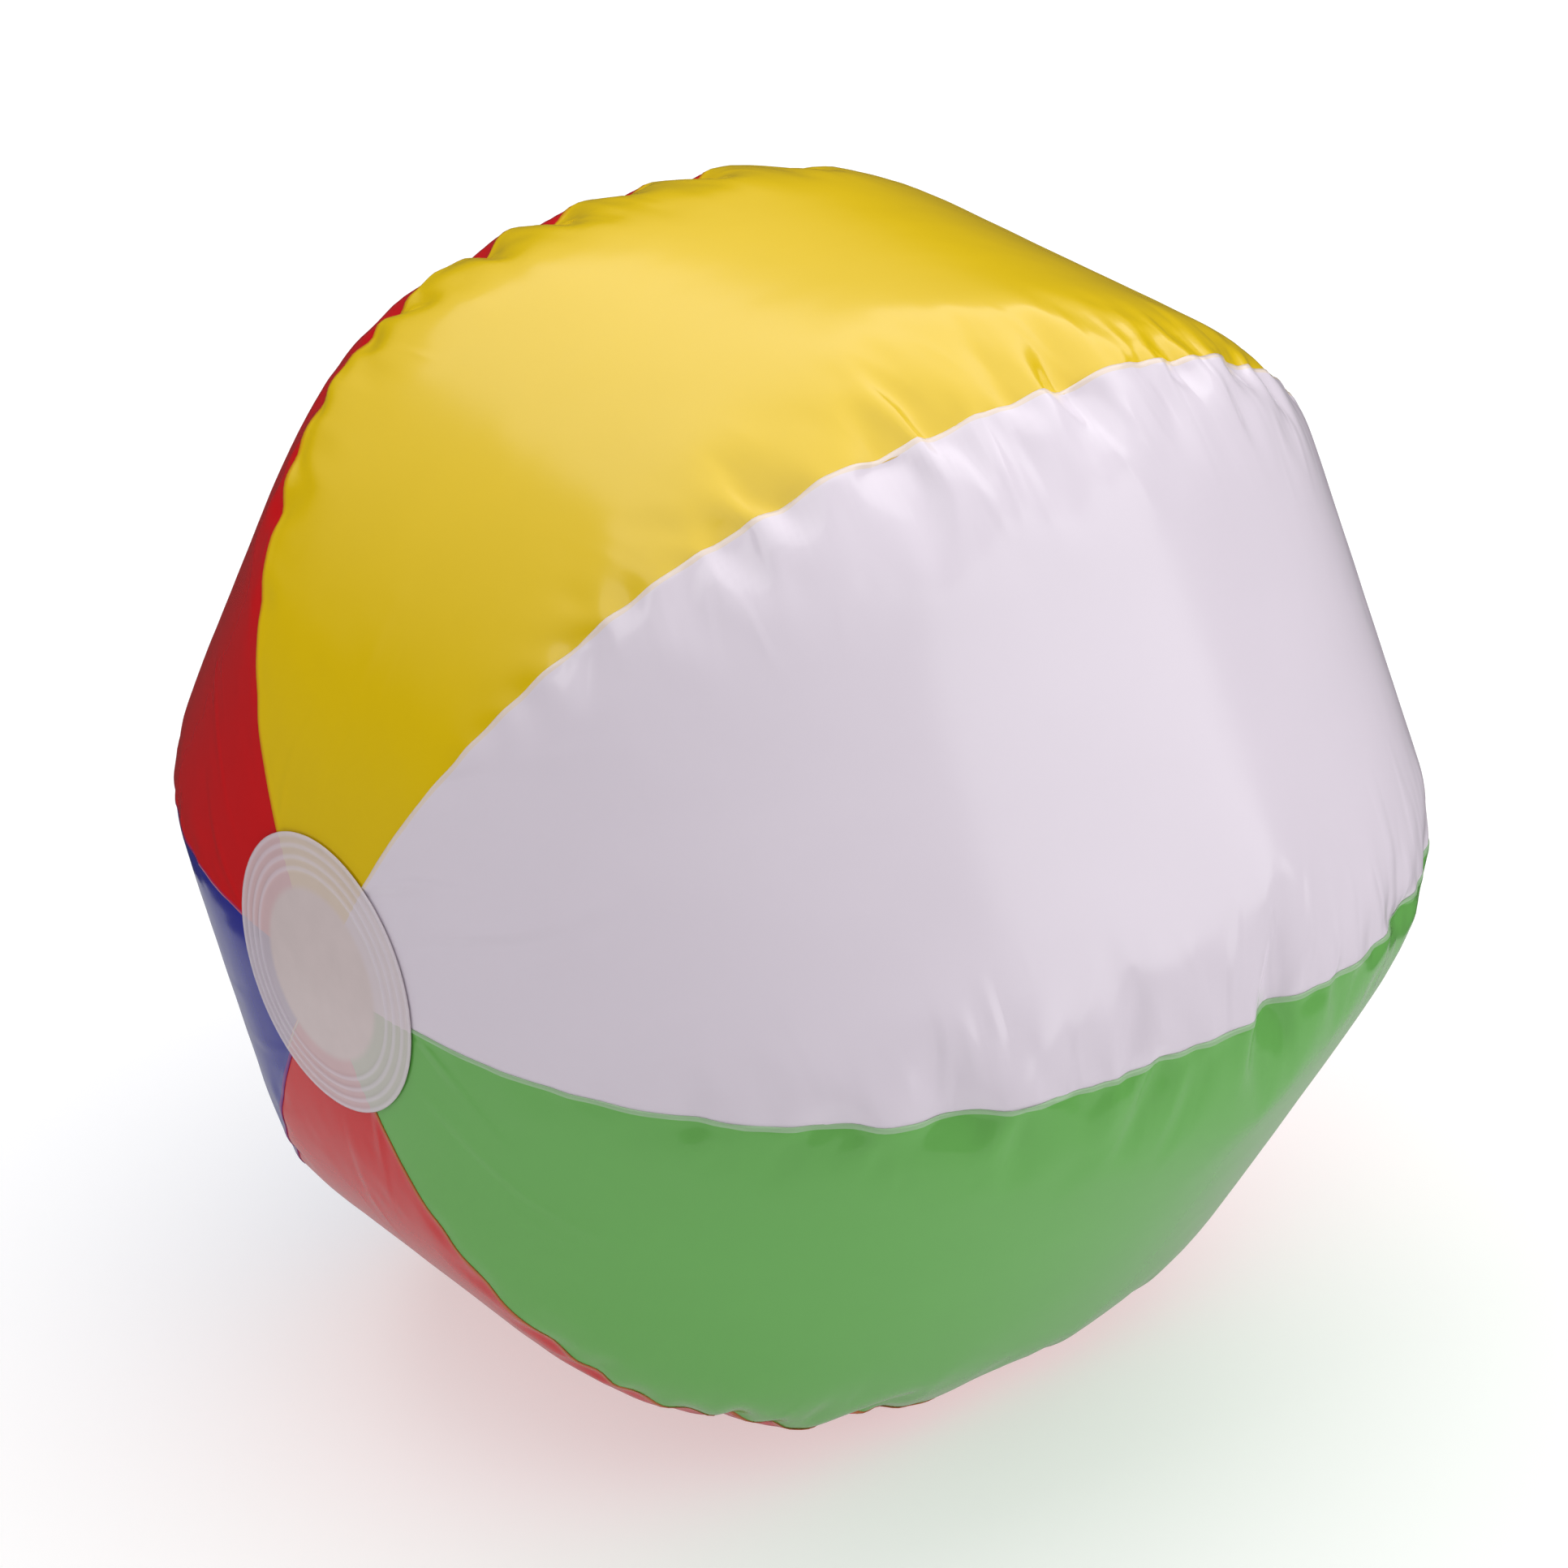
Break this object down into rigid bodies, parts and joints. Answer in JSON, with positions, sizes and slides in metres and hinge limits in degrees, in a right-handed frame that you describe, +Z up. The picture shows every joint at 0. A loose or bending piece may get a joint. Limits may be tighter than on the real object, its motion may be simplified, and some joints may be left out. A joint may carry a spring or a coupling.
{
  "type": "inflatable beach ball",
  "caption": "Inflated vinyl beach ball of welded colour panels, with clear pole discs and a push-in inflation valve with a tethered plug.",
  "frame": {"origin": "on the ground, below the centre of the ball, in the middle of the flattened rest patch of the lowest panel", "axes": "+Z up, the axis through the two poles along X with the valve near the +X pole, +Y towards the side seam of the blue and upper red panels"},
  "size_m": [0.3426, 0.3686, 0.3383],
  "materials": {
    "red_film": "gloss",
    "green_film": "gloss",
    "white_film": "gloss",
    "yellow_film": "gloss",
    "blue_film": "gloss",
    "clear_film": "gloss",
    "clear_moulding": "gloss"
  },
  "bodies": {
    "ball": {"panel_red_lower": "red_film", "panel_green": "green_film", "panel_white": "white_film", "panel_yellow": "yellow_film", "panel_red_upper": "red_film", "panel_blue": "blue_film", "pole_disc_near": "clear_film", "pole_disc_far": "clear_film", "valve_flange": "clear_moulding", "valve_cuff": "clear_film"},
    "stem": {"valve_stem": "clear_moulding", "strap_collar": "clear_moulding"},
    "flap": {"check_flap": "clear_film"},
    "plug": {"valve_plug": "clear_moulding", "plug_strap": "clear_moulding"}
  },
  "joints": [
    {"name": "stem_pull", "type": "slide", "parent": "ball", "child": "stem", "axis": [0.929, 0.3204, 0.185], "range_m": [0, 0.015], "deforming": ["valve_cuff"]},
    {"name": "flap_hinge", "type": "hinge", "parent": "stem", "child": "flap", "pos_m": [0.14736, 0.06826, 0.20771], "axis": [0, 0.5, -0.866], "range_deg": [0, 60], "stiffness_Nm_per_rad": 0.0005},
    {"name": "plug_hinge", "type": "hinge", "parent": "stem", "child": "plug", "pos_m": [0.15626, 0.07617, 0.21228], "axis": [0, -0.5, 0.866], "range_deg": [0, 150]}
  ]
}
